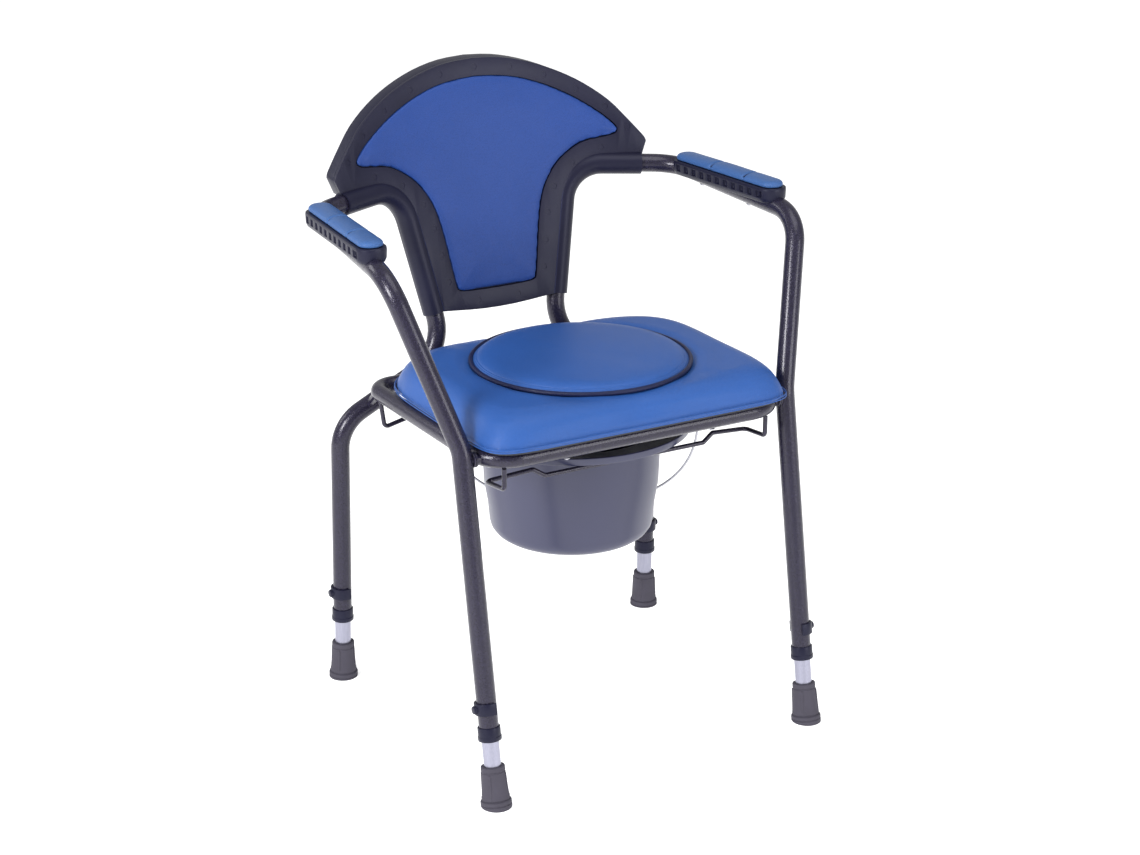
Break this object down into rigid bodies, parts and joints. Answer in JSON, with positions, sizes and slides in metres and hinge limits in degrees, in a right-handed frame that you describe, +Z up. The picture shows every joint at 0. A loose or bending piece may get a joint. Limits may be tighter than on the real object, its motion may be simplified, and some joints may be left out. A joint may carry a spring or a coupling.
{
  "type": "commode chair",
  "caption": "Commode chair: bent tube frame with armrests and telescopic legs, moulded backrest, padded seat with lift-out plug over a bucket carried on wires.",
  "frame": {"origin": "on the floor under the middle of the chair's bounding box", "axes": "+X to the sitter's left, +Y towards the back, +Z up; the sitter faces -Y"},
  "size_m": [0.6172, 0.5296, 0.8225],
  "materials": {
    "hammered_paint": "dark grey hammered enamel",
    "black_plastic": "satin moulded plastic",
    "blue_vinyl": "soft satin vinyl upholstery",
    "seat_board": "black sealed board",
    "black_piping": "satin vinyl piping",
    "bucket_plastic": "satin grey polypropylene",
    "bright_steel": "bright plated steel",
    "aluminium": "anodised",
    "foot_rubber": "matt grey rubber"
  },
  "bodies": {
    "chair": {"side_tube_left": "hammered_paint", "side_tube_right": "hammered_paint", "seat_frame": "hammered_paint", "front_weld_left": "hammered_paint", "front_weld_right": "hammered_paint", "rear_lug_left": "hammered_paint", "rear_lug_right": "hammered_paint", "bucket_wire_front": "hammered_paint", "bucket_wire_rear": "hammered_paint", "backrest_rear_shell": "black_plastic", "backrest_face_frame": "black_plastic", "armrest_base_left": "black_plastic", "armrest_base_right": "black_plastic", "leg_collar_front_left": "black_plastic", "leg_collar_front_right": "black_plastic", "leg_collar_rear_left": "black_plastic", "leg_collar_rear_right": "black_plastic", "back_screw_1": "black_plastic", "back_screw_2": "black_plastic", "back_screw_3": "black_plastic", "back_screw_4": "black_plastic", "backrest_pad": "blue_vinyl", "seat_cushion": "blue_vinyl", "armrest_pad_left": "blue_vinyl", "armrest_pad_right": "blue_vinyl", "seat_board": "seat_board", "seat_screw_1": "bright_steel", "seat_screw_2": "bright_steel", "seat_screw_3": "bright_steel", "seat_screw_4": "bright_steel", "arm_screw_left_1": "bright_steel", "arm_screw_left_2": "bright_steel", "arm_screw_right_1": "bright_steel", "arm_screw_right_2": "bright_steel"},
    "plug": {"plug_board": "seat_board", "plug_cushion": "blue_vinyl", "plug_piping": "black_piping"},
    "bucket": {"bucket": "bucket_plastic"},
    "bail": {"bucket_bail": "bright_steel"},
    "leg_front_left": {"inner_tube_front_left": "aluminium", "foot_front_left": "foot_rubber"},
    "clip_front_left": {"leg_clip_front_left": "black_plastic"},
    "leg_front_right": {"inner_tube_front_right": "aluminium", "foot_front_right": "foot_rubber"},
    "clip_front_right": {"leg_clip_front_right": "black_plastic"},
    "leg_rear_left": {"inner_tube_rear_left": "aluminium", "foot_rear_left": "foot_rubber"},
    "clip_rear_left": {"leg_clip_rear_left": "black_plastic"},
    "leg_rear_right": {"inner_tube_rear_right": "aluminium", "foot_rear_right": "foot_rubber"},
    "clip_rear_right": {"leg_clip_rear_right": "black_plastic"}
  },
  "joints": [
    {"name": "plug_lift", "type": "slide", "parent": "chair", "child": "plug", "axis": [0, 0, 1], "range_m": [0, 0.15]},
    {"name": "bucket_lift", "type": "slide", "parent": "chair", "child": "bucket", "axis": [0, 0, 1], "range_m": [0, 0.012]},
    {"name": "bail_swing", "type": "hinge", "parent": "bucket", "child": "bail", "pos_m": [0, -0.025, 0.3948], "axis": [0.8572, -0.515, 0], "range_deg": [-75, 20]},
    {"name": "leg_height_front_left", "type": "slide", "parent": "chair", "child": "leg_front_left", "axis": [-0.0036, -0.1685, -0.9857], "range_m": [-0.025, 0.1]},
    {"name": "clip_pull_front_left", "type": "slide", "parent": "chair", "child": "clip_front_left", "axis": [1, -0.0006, -0.0035], "range_m": [0, 0.025]},
    {"name": "leg_height_front_right", "type": "slide", "parent": "chair", "child": "leg_front_right", "axis": [0.0036, -0.1685, -0.9857], "range_m": [-0.025, 0.1]},
    {"name": "clip_pull_front_right", "type": "slide", "parent": "chair", "child": "clip_front_right", "axis": [-1, -0.0006, -0.0035], "range_m": [0, 0.025]},
    {"name": "leg_height_rear_left", "type": "slide", "parent": "chair", "child": "leg_rear_left", "axis": [0.0092, 0.0261, -0.9996], "range_m": [-0.025, 0.1]},
    {"name": "clip_pull_rear_left", "type": "slide", "parent": "chair", "child": "clip_rear_left", "axis": [1, -0.0002, 0.0092], "range_m": [0, 0.025]},
    {"name": "leg_height_rear_right", "type": "slide", "parent": "chair", "child": "leg_rear_right", "axis": [-0.0092, 0.0261, -0.9996], "range_m": [-0.025, 0.1]},
    {"name": "clip_pull_rear_right", "type": "slide", "parent": "chair", "child": "clip_rear_right", "axis": [-1, -0.0002, 0.0092], "range_m": [0, 0.025]}
  ]
}
